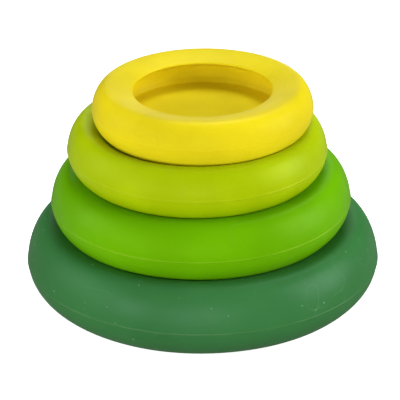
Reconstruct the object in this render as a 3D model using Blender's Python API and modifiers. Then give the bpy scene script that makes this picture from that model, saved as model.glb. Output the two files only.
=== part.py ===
"""Stacking silicone cup set: four graduated cups, each with a fat rolled rim,
an inward-dished top face, an undercut recess and a thin flexing floor.

Units are metres, +Z is up, and the set stands on z = 0 with the largest cup's
axis on the origin.
"""
import math

import bpy

# ---------------------------------------------------------------- dimensions
# Bottom to top: name, outer radius, height of the widest circle above the table,
# and sideways offset in the stack.
CUPS = (
    ("dark_green", 0.05500, 0.01188, 0.00000),
    ("green", 0.04648, 0.03078, -0.00043),
    ("lime", 0.04005, 0.04730, -0.00147),
    ("yellow", 0.03395, 0.06105, 0.00026),
)

# Rim section, as shares of the cup's outer radius.
CROWN_WIDTH = 0.130       # sideways reach of the upper rounded corner
CROWN_HEIGHT = 0.218      # crown above the widest circle
CROWN_POWER = 1.70        # superellipse power of the upper corner
HEEL_WIDTH = 0.204        # sideways reach of the lower rounded corner
HEEL_HEIGHT = 0.216       # widest circle above the base plane
HEEL_POWER = 1.83         # superellipse power of the lower corner
LIP_RADIUS = 0.634        # inner edge of the dished top face
LIP_HEIGHT = 0.166        # lip above the widest circle, with nothing on it
DISH_SAG = 0.008          # how much the dished face is hollowed
BASE_INNER = 0.750        # inner radius of the flat base ring
WEB_CORNER = 0.726        # foot of the underside fillet on the floor web
WEB_INNER = 0.700         # where the rim's floor web ends
FLOOR_LEVEL = 0.064       # top of the floor below the widest circle

# Recess wall, from the floor up to the roof under the lip: (radius, height) shares.
RECESS_WALL = ((0.728, -0.064), (0.742, -0.052), (0.756, -0.020), (0.763, 0.020),
               (0.762, 0.060), (0.750, 0.094), (0.725, 0.118))

# Absolute sizes.
LIP_EDGE = 0.0003         # height of the blunt edge of the wedge-shaped lip
LIP_WEDGE = 0.0014        # reach of the wedge outward, and its depth there
LIP_PRESS = 0.0005        # how far the cup above presses a lip down
FLOOR_THICKNESS = 0.0016
FLOOR_EDGE_ROUND = 0.0003
SEAM_GAP = 0.0003         # clearance round the flexing floor
REST_GAP = 0.0003         # clearance between a cup's base and the dish it rests in

# Facets.
TURN_STEPS = 64
CORNER_STEPS = 6

# Base colour and roughness of each cup's silicone.
COLOURS = {
    "dark_green": (0.045, 0.205, 0.050, 1.0),
    "green": (0.160, 0.480, 0.004, 1.0),
    "lime": (0.450, 0.600, 0.004, 1.0),
    "yellow": (0.890, 0.700, 0.020, 1.0),
}
ROUGHNESS = 0.55


# ------------------------------------------------------------------- helpers
def clear_scene():
    """Remove whatever the file opened with."""
    for obj in list(bpy.data.objects):
        bpy.data.objects.remove(obj, do_unlink=True)


def make_material(name, colour):
    """A matte silicone in one colour."""
    material = bpy.data.materials.new(name)
    material.use_nodes = True
    shader = material.node_tree.nodes["Principled BSDF"]
    shader.inputs["Base Color"].default_value = colour
    shader.inputs["Roughness"].default_value = ROUGHNESS
    shader.inputs["Metallic"].default_value = 0.0
    material.diffuse_color = colour
    return material


def corner(radius, width, height, power, steps):
    """Points of a superellipse quarter from its top or foot out to the widest circle."""
    points = []
    for i in range(steps + 1):
        angle = 0.5 * math.pi * i / steps
        share = 2.0 / power
        across = abs(math.sin(angle)) ** share
        along = abs(math.cos(angle)) ** share
        points.append((radius * (1.0 - width + width * across), radius * height * along))
    return points


def dish_height(radius, r, loaded):
    """Height of the dished top face above the widest circle, at distance r."""
    lip = radius * LIP_RADIUS
    crown = radius * (1.0 - CROWN_WIDTH)
    share = min(1.0, max(0.0, (r - lip) / (crown - lip)))
    low = radius * LIP_HEIGHT - (LIP_PRESS if loaded else 0.0)
    high = radius * CROWN_HEIGHT
    return low + (high - low) * share - DISH_SAG * radius * 4.0 * share * (1.0 - share)


def bedded(points, index):
    """Raise the underside of a cup to where it beds on the dish of the cup below."""
    if index == 0:
        return points
    height, offset = CUPS[index][2:]
    lower_radius, lower_height, lower_offset = CUPS[index - 1][1:]
    shift = abs(offset - lower_offset)
    drop = height - lower_height
    raised = []
    for r, z in points:
        rest = dish_height(lower_radius, r + shift, True) + REST_GAP - drop
        raised.append((r, max(z, rest)))
    return raised


def rim_profile(index):
    """Closed section of a cup's rim: out over the top, down the side, back inside."""
    radius = CUPS[index][1]
    loaded = index + 1 < len(CUPS)
    lip = radius * LIP_RADIUS
    crown = radius * (1.0 - CROWN_WIDTH)

    # Dished top face and the upper corner.
    points = []
    for share in (0.0, 0.5):
        r = lip + (crown - lip) * share
        points.append((r, dish_height(radius, r, loaded)))
    points += corner(radius, CROWN_WIDTH, CROWN_HEIGHT, CROWN_POWER, CORNER_STEPS)

    # Lower corner and base ring.
    heel = corner(radius, HEEL_WIDTH, -HEEL_HEIGHT, HEEL_POWER, CORNER_STEPS)
    base = -HEEL_HEIGHT * radius
    foot = list(reversed(heel))[1:] + [(radius * BASE_INNER, base)]
    points += bedded(foot, index)

    # Underside recess and the web that carries the floor.
    floor = -FLOOR_LEVEL * radius
    under = floor - FLOOR_THICKNESS
    points.append((radius * (BASE_INNER - 0.006), under - 0.25 * (under - base)))
    points.append((radius * WEB_CORNER, under))
    points.append((radius * WEB_INNER, under))
    points.append((radius * WEB_INNER, floor))

    # Recess wall, then the wedge-shaped lip.
    points += [(radius * r, radius * z) for r, z in RECESS_WALL]
    edge = dish_height(radius, lip, loaded)
    points.append((lip + LIP_WEDGE, edge - LIP_WEDGE))
    points.append((lip, edge - LIP_EDGE))
    return points


def floor_profile(radius):
    """Section of the flexing floor, from its middle out over the top and back under."""
    edge = radius * WEB_INNER - SEAM_GAP
    top = -FLOOR_LEVEL * radius
    under = top - FLOOR_THICKNESS
    return [
        (0.0, top),
        (edge - FLOOR_EDGE_ROUND, top),
        (edge, top - FLOOR_EDGE_ROUND),
        (edge, under + FLOOR_EDGE_ROUND),
        (edge - FLOOR_EDGE_ROUND, under),
        (0.0, under),
    ]


def turn(name, points, closed, location, material, collection):
    """Revolve a section about its own vertical axis into one closed solid."""
    vertices = [(r, 0.0, z) for r, z in points]
    edges = [(i, i + 1) for i in range(len(points) - 1)]
    if closed:
        edges.append((len(points) - 1, 0))
    mesh = bpy.data.meshes.new(name)
    mesh.from_pydata(vertices, edges, [])
    mesh.materials.append(material)
    obj = bpy.data.objects.new(name, mesh)
    obj.location = location
    collection.objects.link(obj)

    screw = obj.modifiers.new("turned", "SCREW")
    screw.axis = "Z"
    screw.angle = math.tau
    screw.steps = TURN_STEPS
    screw.render_steps = TURN_STEPS
    screw.use_merge_vertices = True
    screw.merge_threshold = 0.00001
    screw.use_smooth_shade = True
    return obj


# --------------------------------------------------------------------- build
def build():
    clear_scene()
    collection = bpy.data.collections.new("stacking_silicone_cup_set")
    bpy.context.scene.collection.children.link(collection)
    for index, (name, radius, height, offset) in enumerate(CUPS):
        material = make_material(name + "_silicone", COLOURS[name])
        place = (offset, 0.0, height)
        turn(name + "_cup", rim_profile(index), True, place, material, collection)
        turn(name + "_floor", floor_profile(radius), False, place, material, collection)


build()
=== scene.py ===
"""Looks of the stacking silicone cup set: four soft, matte, one-piece mouldings.

Each cup is one continuous closed mesh, rim and thin floor together, turned from a fine
section and then leaned, pressed and made slightly uneven. It stands for the cup's two
CAD nodes, which are hidden.
"""
import math
from collections import namedtuple

import bpy
import numpy as np
from mathutils import Euler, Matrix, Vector, noise


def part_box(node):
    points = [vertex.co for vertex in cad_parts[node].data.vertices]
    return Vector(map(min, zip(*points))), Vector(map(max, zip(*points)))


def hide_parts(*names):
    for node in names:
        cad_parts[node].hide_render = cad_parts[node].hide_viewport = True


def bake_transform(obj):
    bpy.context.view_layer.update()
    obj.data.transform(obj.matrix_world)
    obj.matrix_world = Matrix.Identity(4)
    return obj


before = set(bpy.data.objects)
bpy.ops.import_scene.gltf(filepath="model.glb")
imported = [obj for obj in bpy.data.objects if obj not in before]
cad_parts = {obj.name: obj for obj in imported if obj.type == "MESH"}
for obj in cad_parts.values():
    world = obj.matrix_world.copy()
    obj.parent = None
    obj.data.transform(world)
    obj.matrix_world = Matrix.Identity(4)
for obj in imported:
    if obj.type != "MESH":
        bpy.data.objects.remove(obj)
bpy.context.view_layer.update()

# --------------------------------------------------------------------------- sizes
# Shares of a cup's outer radius. The section is turned about the cup's axis, and its
# heights are counted from the widest circle.
CAD_CROWN = 0.218      # height of the CAD rim's crown
CROWN_WIDTH = 0.130    # the rounded corner from the crown out to the widest circle
CROWN_POWER = 1.70     # how square that corner is: 2 is an ellipse
CROWN_BLUR = 0.035     # how far the crown is rounded off into the dished face
HEEL_WIDTH = 0.204     # the rounded corner from the widest circle in to the base
HEEL_POWER = 1.83
LIP_RADIUS = 0.628     # edge of the mouth
DISH_DEPTH = 0.052     # from the crown down to an unloaded lip
FLOOR_LEVEL = 0.064    # top of the floor, below the widest circle
BASE_OUTER = 0.775     # flat ring that the cup stands on
BASE_INNER = 0.750
BASE_CHAMFER = 0.004
HOLLOW_WALL = 0.744    # wall of the hollow under the floor, part of the way up
HOLLOW_RISE = 0.4      # that part, from the base to the floor
HOLLOW_TOP = 0.738     # where the wall meets the floor
BED_INNER = 0.74       # outside this, the underside follows the dish it beds in

# Points along the flat of the floor, above and below.
FLOOR_RADII = (0.25, 0.50, 0.66)
UNDER_RADII = (0.722, 0.66, 0.35)

# The recess behind the lip: its foot, as how far out and how far above the floor, then
# its wall and roof, as how far out and how far above the widest circle.
WALL_FOOT = ((0.719, 0.0005), (0.731, 0.008))
RECESS_WALL = ((0.740, -0.040), (0.756, -0.015), (0.763, 0.020),
               (0.762, 0.060), (0.750, 0.094), (0.725, 0.118))

# Metres.
LIP_EDGE = 0.0003         # height of the lip's blunt edge
LIP_WEDGE = 0.0014        # the lip thickens by this much, this far behind its edge
DISH_START = 0.0004       # from the lip's edge out to the dished face
FLOOR_THICKNESS = 0.0016
HOLLOW_ROUNDING = 0.0004
BASE_LIFT = 0.00025       # height of the chamfer inside the base ring
REST_GAP = 0.0001         # between a cup and the dish that it beds in
FLASH_WIDTH = 0.00016     # of the raised line where the halves of the mould met
FLASH_REACH = 0.0009      # of the close-set stretch that carries it, either way
UNEVENNESS = 0.00010      # how far the moulding strays from round
UNEVEN_SCALE = 38.0       # noise cells per metre

# The lip's rounded edge, from below: how far out, and how far down from its top.
LIP_ROUNDING = ((0.00006, LIP_EDGE + 0.00008), (0.0, LIP_EDGE),
                (0.00002, 0.00012), (0.00012, 0.00003))

# Points along each stretch of the section, and round the axis.
WALL_STEPS = 5
DISH_STEPS = 20
CROWN_STEPS = 16
HEEL_STEPS = 18
HOLLOW_STEPS = 4
FLASH_STEPS = 14
BLUR_SAMPLES = 41
TURNS = 192

# From the bottom of the stack up.
CUPS = ("dark_green", "green", "lime", "yellow")

# How far the flash stands out, in metres.
FLASH_HEIGHT = {"dark_green": 0.00016, "green": 0.00016, "lime": 0.00014, "yellow": 0.00003}

# How each soft cup has settled: slope up to the right, slope up to the back, and lift.
LEAN = {
    "dark_green": (0.0, 0.0, -0.0008),
    "green": (0.0080, 0.0120, 0.0001),
    "lime": (-0.0070, 0.0140, 0.00015),
    "yellow": (0.0050, 0.0120, -0.0003),
}

# How far the load above presses each lip down, in metres.
LIP_PRESS = {"dark_green": 0.0012, "green": 0.0008, "lime": 0.0009, "yellow": 0.0}

# Extra fall of the dish, in metres: it reaches the lip's level early and runs flat from
# there, as a seat.
SEAT_DIP = {"dark_green": 0.0, "green": 0.0, "lime": 0.0033, "yellow": 0.0}

# How the dished face rolls over into the crown: 1 is a straight cone with an edge.
DISH_ROLL = {"dark_green": 1.4, "green": 1.5, "lime": 1.5, "yellow": 1.45}

# Depth of the base, as a share of the radius; a little fuller on the top cup.
HEEL_HEIGHT = {"dark_green": 0.201, "green": 0.216, "lime": 0.216, "yellow": 0.236}

# Height of the crown, as a share of the radius; the bottom cup is widest a little lower.
CROWN_HEIGHT = {"dark_green": 0.233, "green": 0.218, "lime": 0.218, "yellow": 0.218}


def measures(name):
    """Radius, sideways place and height of the widest circle, from the CAD node."""
    low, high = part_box(name + "_cup")
    radius = 0.5 * (high[0] - low[0])
    middle = 0.5 * (high[0] + low[0])
    return radius, middle, high[2] - CAD_CROWN * radius


MEASURES = {cup: measures(cup) for cup in CUPS}


# ------------------------------------------------------------------------ the section
def corner(radius, width, height, power, steps):
    """A superellipse quarter from its crown or foot out to the widest circle."""
    points = []
    for i in range(steps + 1):
        angle = 0.5 * math.pi * i / steps
        across = abs(math.sin(angle)) ** (2.0 / power)
        along = abs(math.cos(angle)) ** (2.0 / power)
        points.append((radius * (1.0 - width + width * across), radius * height * along))
    return points


def smooth_path(points, steps):
    """A Catmull-Rom curve through the points, ends included."""
    padded = [points[0]] + list(points) + [points[-1]]
    out = []
    for a, b, c, d in zip(padded, padded[1:], padded[2:], padded[3:]):
        for i in range(steps):
            t = i / steps
            out.append(tuple(
                0.5 * (2 * q + (r - p) * t + (2 * p - 5 * q + 4 * r - s) * t * t
                       + (3 * q - p - 3 * r + s) * t ** 3)
                for p, q, r, s in zip(a, b, c, d)))
    out.append(points[-1])
    return out


def dish_height(name, r):
    """Height of the dished top face above the widest circle, at distance r."""
    radius = MEASURES[name][0]
    lip = radius * LIP_RADIUS
    crown = radius * (1.0 - CROWN_WIDTH)
    share = min(1.0, max(0.0, (r - lip) / (crown - lip)))
    high = radius * CROWN_HEIGHT[name]
    low = high - radius * DISH_DEPTH - LIP_PRESS[name]
    dip = high - low + SEAT_DIP[name]
    return max(low, high - dip * (1.0 - share) ** DISH_ROLL[name])


def section(name):
    """The whole moulding's section, from the middle of the floor out over the lip,
    down the side, under the base and back to the middle, as (r, z)."""
    radius = MEASURES[name][0]
    heel = HEEL_HEIGHT[name]
    lip = radius * LIP_RADIUS
    crown = radius * (1.0 - CROWN_WIDTH)
    floor = -FLOOR_LEVEL * radius
    under = floor - FLOOR_THICKNESS
    base = -heel * radius

    # Floor, recess wall and the underside of the wedge-shaped lip.
    lip_top = dish_height(name, lip)
    inner = [(0.0, floor)]
    inner += [(share * radius, floor) for share in FLOOR_RADII]
    inner += [(out * radius, floor + up * radius) for out, up in WALL_FOOT]
    inner += [(out * radius, up * radius) for out, up in RECESS_WALL]
    inner.append((lip + LIP_WEDGE, lip_top - LIP_WEDGE))
    points = smooth_path(inner, WALL_STEPS)

    # Thin, barely rounded edge of the lip.
    points += [(lip + out, lip_top - down) for out, down in LIP_ROUNDING]

    # Dished top face.
    start = lip + DISH_START
    for i in range(DISH_STEPS):
        r = start + (crown - start) * i / DISH_STEPS
        points.append((r, dish_height(name, r)))

    # Outer corners, with the raised flash.
    upper = corner(radius, CROWN_WIDTH, CROWN_HEIGHT[name], CROWN_POWER, CROWN_STEPS)
    points, upper = soften_crown(points, upper, CROWN_BLUR * radius)
    lower = corner(radius, HEEL_WIDTH, -heel, HEEL_POWER, HEEL_STEPS)
    lower.reverse()
    points += with_flash(upper + lower[1:], FLASH_HEIGHT[name])

    # Base ring, wall of the hollow and underside of the floor.
    points.append((BASE_OUTER * radius, base))
    points.append((BASE_INNER * radius, base))
    points.append(((BASE_INNER - BASE_CHAMFER) * radius, base + BASE_LIFT))
    hollow = [(HOLLOW_WALL * radius, (1.0 - HOLLOW_RISE) * base + HOLLOW_RISE * under),
              (HOLLOW_TOP * radius, under - HOLLOW_ROUNDING)]
    hollow += [(share * radius, under) for share in UNDER_RADII]
    hollow.append((0.0, under))
    return points + smooth_path(hollow, HOLLOW_STEPS)


def soften_crown(before, after, reach):
    """Round off the crown, where the dished face that ends `before` meets the corner in
    `after`, by a moving average that fades out away from the crown."""
    path = np.array(before[-DISH_STEPS:] + after)
    lengths = np.hypot(*np.diff(path, axis=0).T)
    along = np.concatenate([[0.0], np.cumsum(lengths)])
    middle = along[DISH_STEPS]
    smooth = []
    for place, point in zip(along, path):
        width = reach * max(0.0, 1.0 - ((place - middle) / (4.0 * reach)) ** 2)
        if width < 1e-6:
            smooth.append(tuple(point))
            continue
        spots = np.linspace(place - 2.0 * width, place + 2.0 * width, BLUR_SAMPLES)
        weights = np.exp(-(((spots - place) / width) ** 2))
        smooth.append(tuple(
            float(np.sum(weights * np.interp(spots, along, column)) / weights.sum())
            for column in path.T))
    return before[:-DISH_STEPS] + smooth[:DISH_STEPS], smooth[DISH_STEPS:]


def with_flash(outer, tall):
    """Swap the stretch at the widest circle for a close-set one with the flash on it."""
    radii, heights = np.array(outer).T
    above = [p for p in outer if p[1] > FLASH_REACH]
    below = [p for p in outer if p[1] < -FLASH_REACH]
    ridge = []
    for i in range(FLASH_STEPS + 1):
        z = FLASH_REACH * (1.0 - 2.0 * i / FLASH_STEPS)
        r = float(np.interp(-z, -heights, radii))
        r += tall * math.exp(-((z / FLASH_WIDTH) ** 2))
        ridge.append((r, z))
    return above + ridge + below


# ---------------------------------------------------------------------------- meshes
def wobble(point, seed):
    """Slow unevenness of a soft moulding, between about -1 and 1."""
    return noise.noise(Vector(point) * UNEVEN_SCALE + Vector((seed, 0.0, 0.0)))


def settle(name, x, y):
    """How far a point of a cup is raised by the way the cup has settled."""
    middle = MEASURES[name][1]
    right, back, lift = LEAN[name]
    return lift + right * (x - middle) + back * y


def bed_height(index, x, y):
    """Height at (x, y) of the dish that a cup beds on, with the clearance."""
    below = CUPS[index - 1]
    _, middle, height = MEASURES[below]
    r = math.hypot(x - middle, y)
    return height + dish_height(below, r) + settle(below, x, y) + REST_GAP


def turned_mesh(index, name, points):
    """The section turned into a closed mesh. It starts and ends on the axis, and its
    second half, the outer side and the underside, is kept clear of the cup below."""
    radius, middle, height = MEASURES[name]
    half_way = len(points) // 2
    vertices = []

    def add(row, x, y, z):
        z += height + settle(name, middle + x, y)
        if index > 0 and row > half_way and math.hypot(x, y) > BED_INNER * radius:
            z = max(z, bed_height(index, middle + x, y))
        vertices.append((middle + x, y, z))

    add(0, 0.0, 0.0, points[0][1])
    rings = points[1:-1]
    for row, (r, z) in enumerate(rings):
        for k in range(TURNS):
            angle = math.tau * k / TURNS
            x, y = r * math.cos(angle), r * math.sin(angle)
            swell = 1.0 + UNEVENNESS * wobble((x, y, z), 7.0 * index) / max(r, 0.01)
            add(row, x * swell, y * swell, z)
    add(0, 0.0, 0.0, points[-1][1])

    faces = []
    for k in range(TURNS):
        faces.append((0, 1 + k, 1 + (k + 1) % TURNS))
    for i in range(len(rings) - 1):
        a, b = 1 + i * TURNS, 1 + (i + 1) * TURNS
        for k in range(TURNS):
            n = (k + 1) % TURNS
            faces.append((a + k, b + k, b + n, a + n))
    last = len(vertices) - 1
    a = 1 + (len(rings) - 1) * TURNS
    for k in range(TURNS):
        faces.append((a + k, last, a + (k + 1) % TURNS))

    mesh = bpy.data.meshes.new(name)
    mesh.from_pydata(vertices, [], faces)
    mesh.update()
    mesh.shade_smooth()
    obj = bpy.data.objects.new(name + "_moulding", mesh)
    bpy.context.scene.collection.objects.link(obj)
    return obj


def keep_rest(obj, name):
    """Store where each point lies and how near it is to the flash, for the material's paler
    flash and painted highlight.
    """
    radius, middle, height = MEASURES[name]
    mesh = obj.data
    points = np.empty(len(mesh.vertices) * 3)
    mesh.vertices.foreach_get("co", points)
    place = mesh.attributes.new("place", "FLOAT_VECTOR", "POINT")
    place.data.foreach_set("vector", points)

    points = points.reshape(-1, 3)
    settled = np.array([settle(name, x, y) for x, y in points[:, :2]])
    level = points[:, 2] - height - settled
    outside = np.hypot(points[:, 0] - middle, points[:, 1]) > 0.9 * radius
    near = np.exp(-((level / (1.2 * FLASH_WIDTH)) ** 2)) * outside
    flash = mesh.attributes.new("flash", "FLOAT", "POINT")
    flash.data.foreach_set("value", near)


def flex_with_floor(obj, name):
    """Cone the mesh, each point's height becoming its distance from the axis, bake its
    transform and put the points back, so the mesh ends as it began.
    """
    radius, middle, _ = MEASURES[name]
    count = len(obj.data.vertices)
    rest = np.empty(count * 3)
    obj.data.vertices.foreach_get("co", rest)
    coned = rest.reshape(-1, 3).copy()
    away = np.hypot(coned[:, 0] - middle, coned[:, 1])
    coned[:, 2] = away
    obj.data.vertices.foreach_set("co", coned.ravel())
    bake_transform(obj)
    obj.data.vertices.foreach_set("co", rest)
    obj.data.update()


# -------------------------------------------------------------------------- materials
Look = namedtuple("Look", "colour tint gloss speck_colour speck_share flash_gain")

# flash_gain sets how strongly the flash is painted paler: partly its own paler silicone,
# partly a painted highlight.
LOOKS = {
    "dark_green": Look(colour=(0.045, 0.208, 0.054), tint=(0.70, 1.00, 0.95), gloss=0.24,
                       speck_colour=(0.30, 0.50, 0.33), speck_share=0.30, flash_gain=0.32),
    "green": Look(colour=(0.162, 0.480, 0.001), tint=(0.60, 1.00, 0.05), gloss=0.30,
                  speck_colour=(0.45, 0.60, 0.25), speck_share=0.07, flash_gain=0.40),
    "lime": Look(colour=(0.465, 0.625, 0.001), tint=(0.90, 1.00, 0.15), gloss=0.32,
                 speck_colour=(0.62, 0.68, 0.20), speck_share=0.03, flash_gain=0.25),
    "yellow": Look(colour=(0.925, 0.755, 0.012), tint=(1.00, 0.95, 0.15), gloss=0.20,
                   speck_colour=(0.25, 0.20, 0.05), speck_share=0.03, flash_gain=0.0),
}


class Tree:
    """Shorthand for building a material's node tree."""

    def __init__(self, material):
        self.nodes = material.node_tree.nodes
        self.links = material.node_tree.links

    def node(self, kind, **settings):
        made = self.nodes.new(kind)
        for key, value in settings.items():
            setattr(made, key, value)
        return made

    def put(self, node, socket, value):
        target = node.inputs[socket]
        if isinstance(value, bpy.types.NodeSocket):
            self.links.new(value, target)
        else:
            target.default_value = value

    def noise(self, place, scale, detail):
        made = self.node("ShaderNodeTexNoise")
        self.put(made, "Vector", place)
        self.put(made, "Scale", scale)
        self.put(made, "Detail", detail)
        return made.outputs["Fac"]

    def remap(self, value, low, high, to_low, to_high):
        made = self.node("ShaderNodeMapRange")
        for socket, part in zip(range(5), (value, low, high, to_low, to_high)):
            self.put(made, socket, part)
        return made.outputs[0]

    def math(self, operation, a, b):
        made = self.node("ShaderNodeMath", operation=operation)
        self.put(made, 0, a)
        self.put(made, 1, b)
        return made.outputs[0]

    def mix(self, factor, a, b):
        made = self.node("ShaderNodeMix", data_type="RGBA")
        self.put(made, 0, factor)
        self.put(made, 6, a)
        self.put(made, 7, b)
        return made.outputs[2]


def clouded(tree, place, look):
    """The cup's colour, clouded from slightly deeper to slightly paler."""
    deep = tuple(0.90 * c for c in look.colour) + (1.0,)
    pale = tuple(1.06 * c for c in look.colour) + (1.0,)
    clouds = tree.remap(tree.noise(place, 45.0, 3.0), 0.3, 0.7, 0.0, 1.0)
    grain = tree.remap(tree.noise(place, 1400.0, 2.0), 0.3, 0.7, -0.08, 0.08)
    return tree.mix(tree.math("ADD", clouds, grain), deep, pale)


def with_paler_flash_and_painted_highlight(tree, place, flash, look, surface):
    """The flash: its own paler silicone plus a painted highlight along the ridge, stronger
    in some stretches.
    """
    red, green, blue = look.colour
    stretches = tree.remap(tree.noise(place, 90.0, 2.0), 0.35, 0.65, 0.5, 1.6)
    # Paler flash line: partly the flash's own paler silicone, partly a painted highlight
    # where the ridge catches light.
    line = tree.math("MULTIPLY", tree.math("MULTIPLY", flash, stretches), look.flash_gain)
    paler = (red + 0.45 * (1.15 * green - red), min(1.0, 1.18 * green), blue + 0.03, 1.0)
    return tree.mix(line, surface, paler)


def scuffed(tree, place, look, surface):
    """Faint curved scuffs: a contour line of one noise, in the patches of another."""
    contour = tree.math("SUBTRACT", tree.noise(place, 60.0, 1.0), 0.5)
    thin = tree.remap(tree.math("ABSOLUTE", contour, 0.0), 0.0, 0.006, 1.0, 0.0)
    patch = tree.remap(tree.noise(place, 33.0, 0.0), 0.62, 0.68, 0.0, 0.10)
    scuffs = tree.math("MULTIPLY", thin, patch)
    return tree.mix(scuffs, surface, (*look.speck_colour, 1.0))


def specked(tree, place, look, surface):
    """Lint and dust: a speck of its own size in a few cells of a random pattern."""
    cells = tree.node("ShaderNodeTexVoronoi")
    tree.put(cells, "Vector", place)
    tree.put(cells, "Scale", 420.0)
    pick = tree.node("ShaderNodeSeparateColor")
    tree.put(pick, "Color", cells.outputs["Color"])
    chosen = tree.math("LESS_THAN", pick.outputs["Red"], look.speck_share)
    reach = tree.remap(pick.outputs["Green"], 0.0, 1.0, 0.04, 0.13)
    dot = tree.math("LESS_THAN", cells.outputs["Distance"], reach)
    strength = tree.remap(pick.outputs["Blue"], 0.0, 1.0, 0.20, 0.80)
    specks = tree.math("MULTIPLY", tree.math("MULTIPLY", chosen, dot), strength)
    return tree.mix(specks, surface, (*look.speck_colour, 1.0))


def silicone(name):
    """Matte moulded silicone, faintly clouded, with lint, scuffs and a paler flash that is
    partly a painted highlight.
    """
    look = LOOKS[name]
    material = bpy.data.materials.new(name + "_silicone")
    material.use_nodes = True
    tree = Tree(material)
    shader = tree.nodes["Principled BSDF"]
    place = tree.node("ShaderNodeAttribute", attribute_name="place").outputs["Vector"]
    flash = tree.node("ShaderNodeAttribute", attribute_name="flash").outputs["Fac"]

    surface = clouded(tree, place, look)
    surface = with_paler_flash_and_painted_highlight(tree, place, flash, look, surface)
    surface = scuffed(tree, place, look, surface)
    surface = specked(tree, place, look, surface)
    tree.put(shader, "Base Color", surface)

    # Uneven polish and a very fine grain.
    polish = tree.remap(tree.noise(place, 70.0, 3.0), 0.3, 0.7, 0.34, 0.46)
    tree.put(shader, "Roughness", polish)
    bump = tree.node("ShaderNodeBump")
    tree.put(bump, "Strength", 0.15)
    tree.put(bump, "Distance", 0.00004)
    tree.put(bump, "Height", tree.noise(place, 2600.0, 3.0))
    tree.put(shader, "Normal", bump.outputs["Normal"])

    tree.put(shader, "IOR", 1.41)
    tree.put(shader, "Specular IOR Level", look.gloss)
    tree.put(shader, "Specular Tint", (*look.tint, 1.0))
    tree.put(shader, "Subsurface Weight", 0.10)
    tree.put(shader, "Subsurface Radius", (1.0, 0.8, 0.25))
    tree.put(shader, "Subsurface Scale", 0.002)
    return material


# ------------------------------------------------------------------------------ stage
FLOOR_DROP = 0.0001       # the sheets lie this far under the stack, in metres
BOUNCE_DROP = 0.0010
FLOOR_ALBEDO = 0.9
FLOOR_GLOW = 0.85
BOUNCE_GLOW = 0.22
SHEET_HALF = 3.0
LIGHT_AIM = (0.0, 0.0, 0.03)

# Soft lights: place, width and power.
LIGHTS = {
    "key": ((0.08, 0.30, 0.66), 0.35, 2.80),
    "back": ((0.0, 0.80, 0.15), 0.40, 0.45),
    "front_left": ((-0.60, -0.55, 0.16), 0.40, 2.30),
    "front_low": ((0.0, -0.80, 0.07), 0.50, 4.70),
    "left": ((-0.75, -0.05, 0.30), 0.50, 1.80),
    "right": ((0.75, -0.10, 0.30), 0.50, 4.70),
}


def make_stage():
    """Pale floor that lights nothing, an unseen sheet for its bounce, and the lights."""
    world = bpy.data.worlds.new("studio")
    world.use_nodes = True
    world.node_tree.nodes["Background"].inputs["Strength"].default_value = 0.0
    bpy.context.scene.world = world

    floor = add_sheet("floor", -FLOOR_DROP, FLOOR_ALBEDO, FLOOR_GLOW)
    floor.visible_diffuse = False
    floor.visible_glossy = False
    bounce = add_sheet("bounce", -BOUNCE_DROP, 0.0, BOUNCE_GLOW)
    bounce.visible_camera = False

    for name, (place, size, power) in LIGHTS.items():
        add_softbox(name, place, size, power)


def add_sheet(name, height, albedo, glow):
    """A wide glowing sheet under the stack."""
    half = SHEET_HALF
    corners = [(-half, -half, 0), (half, -half, 0), (half, half, 0), (-half, half, 0)]
    mesh = bpy.data.meshes.new(name)
    mesh.from_pydata(corners, [], [(0, 1, 2, 3)])
    sheet = bpy.data.objects.new(name, mesh)
    sheet.location.z = height
    bpy.context.scene.collection.objects.link(sheet)
    white = bpy.data.materials.new(name)
    white.use_nodes = True
    shader = white.node_tree.nodes["Principled BSDF"]
    shader.inputs["Base Color"].default_value = (albedo, albedo, albedo, 1.0)
    shader.inputs["Roughness"].default_value = 0.9
    shader.inputs["Specular IOR Level"].default_value = 0.0
    shader.inputs["Emission Color"].default_value = (1.0, 1.0, 1.0, 1.0)
    shader.inputs["Emission Strength"].default_value = glow
    mesh.materials.append(white)
    return sheet


def add_softbox(name, place, size, power):
    """A square soft light aimed at the stack."""
    light = bpy.data.lights.new(name, "AREA")
    light.shape = "SQUARE"
    light.size = size
    light.energy = power
    obj = bpy.data.objects.new(name, light)
    obj.location = place
    aim = Vector(LIGHT_AIM) - Vector(place)
    obj.rotation_euler = aim.to_track_quat("-Z", "Y").to_euler()
    bpy.context.scene.collection.objects.link(obj)


CAMERA_DISTANCE = 0.650
CAMERA_ELEVATION = math.radians(24.888)
CAMERA_ROLL = math.radians(-0.40)
CAMERA_LENS = 187.41      # millimetres, on the sensor's width
SENSOR_WIDTH = 36.0
CAMERA_TARGET = (-0.00073, 0.0, 0.02910)


def make_camera():
    """Long-lens view from the front, looking down on the stack."""
    camera = bpy.data.cameras.new("camera")
    camera.lens = CAMERA_LENS
    camera.sensor_width = SENSOR_WIDTH
    camera.clip_start = 0.01
    obj = bpy.data.objects.new("camera", camera)
    back = Vector((0.0, -math.cos(CAMERA_ELEVATION), math.sin(CAMERA_ELEVATION)))
    obj.location = Vector(CAMERA_TARGET) + back * CAMERA_DISTANCE
    turn = Euler((math.pi / 2 - CAMERA_ELEVATION, 0.0, 0.0)).to_matrix()
    roll = Euler((0.0, 0.0, CAMERA_ROLL)).to_matrix()
    obj.rotation_euler = (turn @ roll).to_euler()
    bpy.context.scene.collection.objects.link(obj)
    bpy.context.scene.camera = obj


# ------------------------------------------------------------------------------ build
def build():
    """All four cups, each in place of its rim and floor, which are hidden."""
    for index, name in enumerate(CUPS):
        cup = turned_mesh(index, name, section(name))
        keep_rest(cup, name)
        cup.data.materials.append(silicone(name))
        flex_with_floor(cup, name)
        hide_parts(name + "_cup", name + "_floor")


build()
make_stage()
make_camera()
scene = bpy.context.scene
scene.view_settings.view_transform = "Standard"
